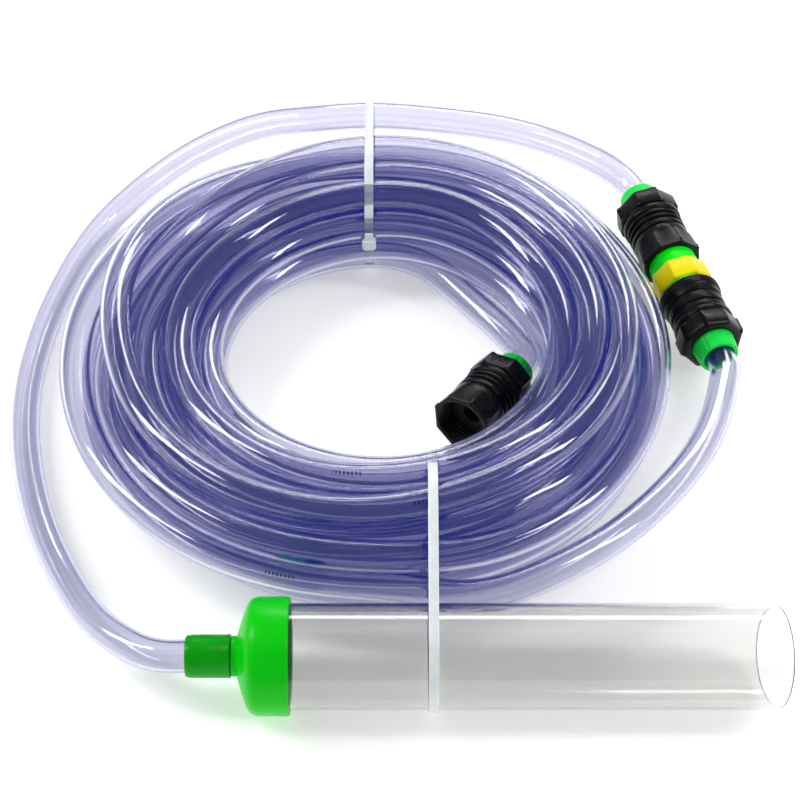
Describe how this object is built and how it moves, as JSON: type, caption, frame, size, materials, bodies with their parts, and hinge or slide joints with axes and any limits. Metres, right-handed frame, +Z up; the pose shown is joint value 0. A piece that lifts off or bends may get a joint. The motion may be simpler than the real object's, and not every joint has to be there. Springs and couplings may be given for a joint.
{
  "type": "gravel vacuum siphon",
  "caption": "Aquarium gravel siphon as packed for sale: a clear tube with a green cap, joined by clear hose to a twist valve and a hose coil held with cable ties, ending in a tap connector.",
  "frame": {"origin": "on the floor, below the middle of everything but the hose", "axes": "+Z up, +X along the gravel tube from its cap to its mouth, +Y from the gravel tube towards the coil"},
  "size_m": [0.3871, 0.3842, 0.0748],
  "materials": {
    "tube_clear": "gloss",
    "hose_clear": "gloss",
    "cap_green": "gloss",
    "sleeve_green": "satin",
    "grip_green": "satin",
    "valve_green": "gloss",
    "collar_yellow": "satin",
    "fitting_black": "satin",
    "seal_black": "matte",
    "tie_nylon": "satin"
  },
  "bodies": {
    "root": {"tube_cap": "cap_green", "cap_sleeve": "sleeve_green", "connector_body_1": "fitting_black", "washer_1": "seal_black", "connector_body_2": "fitting_black", "washer_2": "seal_black", "connector_body_3": "fitting_black", "washer_3": "seal_black", "valve_inlet": "valve_green", "valve_outlet": "valve_green", "valve_pin": "fitting_black", "valve_seal": "seal_black", "hose_a": "hose_clear", "hose_b_lead": "hose_clear", "hose_b_tail": "hose_clear", "hose_b_coil": "hose_clear", "cable_tie_back": "tie_nylon", "cable_tie_front": "tie_nylon"},
    "gravel_tube": {"gravel_tube": "tube_clear"},
    "grip_collar_1": {"grip_collar_1": "grip_green"},
    "clamp_nut_1": {"clamp_nut_1": "fitting_black"},
    "grip_collar_2": {"grip_collar_2": "grip_green"},
    "clamp_nut_2": {"clamp_nut_2": "fitting_black"},
    "grip_collar_3": {"grip_collar_3": "grip_green"},
    "clamp_nut_3": {"clamp_nut_3": "fitting_black"},
    "coupling_nut_1": {"coupling_nut_1": "fitting_black"},
    "coupling_nut_3": {"coupling_nut_3": "fitting_black"},
    "valve_collar": {"valve_collar": "collar_yellow", "valve_disc": "seal_black"}
  },
  "joints": [
    {"name": "gravel_tube_pull", "type": "slide", "parent": "root", "child": "gravel_tube", "axis": [1, 0, 0], "range_m": [0, 0.012]},
    {"name": "grip_collar_1_slide", "type": "slide", "parent": "root", "child": "grip_collar_1", "axis": [-0.2718, 0.9624, 0], "range_m": [0, 0.003]},
    {"name": "clamp_nut_1_turn", "type": "hinge", "parent": "grip_collar_1", "child": "clamp_nut_1", "pos_m": [0.09787, 0.13652, 0.026], "axis": [-0.2718, 0.9624, 0], "range_deg": [0, 720]},
    {"name": "grip_collar_2_slide", "type": "slide", "parent": "root", "child": "grip_collar_2", "axis": [0.2718, -0.9624, 0], "range_m": [0, 0.003]},
    {"name": "clamp_nut_2_turn", "type": "hinge", "parent": "grip_collar_2", "child": "clamp_nut_2", "pos_m": [0.1232, 0.04683, 0.026], "axis": [0.2718, -0.9624, 0], "range_deg": [0, 720]},
    {"name": "grip_collar_3_slide", "type": "slide", "parent": "root", "child": "grip_collar_3", "axis": [0.54, 0.83, -0.14], "range_m": [0, 0.003]},
    {"name": "clamp_nut_3_turn", "type": "hinge", "parent": "grip_collar_3", "child": "clamp_nut_3", "pos_m": [0.01165, 0.01722, 0.01772], "axis": [0.54, 0.83, -0.14], "range_deg": [0, 720]},
    {"name": "coupling_nut_1_turn", "type": "hinge", "parent": "root", "child": "coupling_nut_1", "pos_m": [0.10578, 0.10852, 0.026], "axis": [-0.2718, 0.9624, 0], "range_deg": [0, 90]},
    {"name": "coupling_nut_3_spin", "type": "hinge", "parent": "root", "child": "coupling_nut_3", "pos_m": [-0.00406, -0.00693, 0.02179], "axis": [0.54, 0.83, -0.14], "continuous": true},
    {"name": "valve_collar_turn", "type": "hinge", "parent": "root", "child": "valve_collar", "pos_m": [0.1122, 0.08575, 0.026], "axis": [0.2718, -0.9624, 0], "range_deg": [0, 90]}
  ],
  "couplings": [
    {"joint": "grip_collar_1_slide", "follows": "clamp_nut_1_turn", "m_per_rad": 0.0002387},
    {"joint": "grip_collar_2_slide", "follows": "clamp_nut_2_turn", "m_per_rad": 0.0002387},
    {"joint": "grip_collar_3_slide", "follows": "clamp_nut_3_turn", "m_per_rad": 0.0002387}
  ]
}
